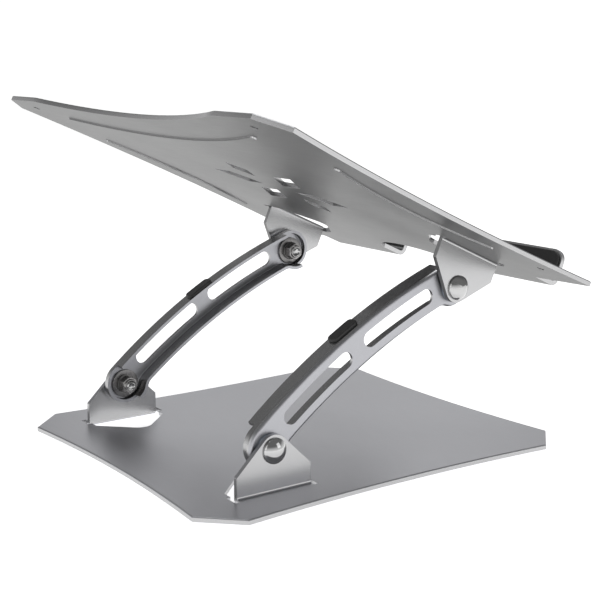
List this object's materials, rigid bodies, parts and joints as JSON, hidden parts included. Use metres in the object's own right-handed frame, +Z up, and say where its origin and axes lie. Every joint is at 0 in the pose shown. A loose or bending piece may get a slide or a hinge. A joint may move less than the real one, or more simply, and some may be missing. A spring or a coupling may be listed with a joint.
{
  "type": "laptop stand",
  "caption": "Foldable laptop stand: a folded base plate, slotted curved arms on friction pivots, and a vented tray with front hooks.",
  "frame": {"origin": "middle of the stand's footprint, on the surface that it stands on", "axes": "+X to the user's right, +Y to the rear, away from the hooks, +Z up"},
  "size_m": [0.315, 0.2673, 0.2161],
  "materials": {
    "anodised_aluminium": "fine bead-blasted and anodised, satin grey",
    "rubber": "matt black silicone",
    "chrome": "polished chrome",
    "steel": "dark nickel plate",
    "nylon": "translucent natural nylon"
  },
  "bodies": {
    "base": {"base_plate": "anodised_aluminium", "front_left_foot": "rubber", "front_right_foot": "rubber", "rear_left_foot": "rubber", "rear_right_foot": "rubber", "lower_left_bolt": "chrome", "lower_left_disc_spring": "steel", "lower_left_lock_nut": "steel", "lower_left_nylon_washer": "nylon", "lower_left_steel_washer": "steel", "lower_right_bolt": "chrome", "lower_right_disc_spring": "steel", "lower_right_lock_nut": "steel", "lower_right_nylon_washer": "nylon", "lower_right_steel_washer": "steel"},
    "arms": {"left_arm": "anodised_aluminium", "right_arm": "anodised_aluminium", "left_arm_bumper": "rubber", "right_arm_bumper": "rubber"},
    "upper_pivots": {"upper_left_bolt": "chrome", "upper_left_disc_spring": "steel", "upper_left_lock_nut": "steel", "upper_left_nylon_washer": "nylon", "upper_left_steel_washer": "steel", "upper_right_bolt": "chrome", "upper_right_disc_spring": "steel", "upper_right_lock_nut": "steel", "upper_right_nylon_washer": "nylon", "upper_right_steel_washer": "steel"},
    "tray": {"tray_plate": "anodised_aluminium", "rear_grip_strip": "rubber", "left_grip_strip": "rubber", "right_grip_strip": "rubber", "left_hook_pad": "rubber", "right_hook_pad": "rubber"}
  },
  "joints": [
    {"name": "arm_lift", "type": "hinge", "parent": "base", "child": "arms", "pos_m": [0, 0.0764, 0.0285], "axis": [-1, 0, 0], "range_deg": [-26, 58]},
    {"name": "pivot_follow", "type": "hinge", "parent": "arms", "child": "upper_pivots", "pos_m": [0, -0.0571, 0.1054], "axis": [1, 0, 0], "range_deg": [-26, 58]},
    {"name": "tray_tilt", "type": "hinge", "parent": "upper_pivots", "child": "tray", "pos_m": [0, -0.0571, 0.1054], "axis": [1, 0, 0], "range_deg": [-24.5, 20]}
  ],
  "couplings": [
    {"joint": "pivot_follow", "follows": "arm_lift", "ratio": 1}
  ]
}
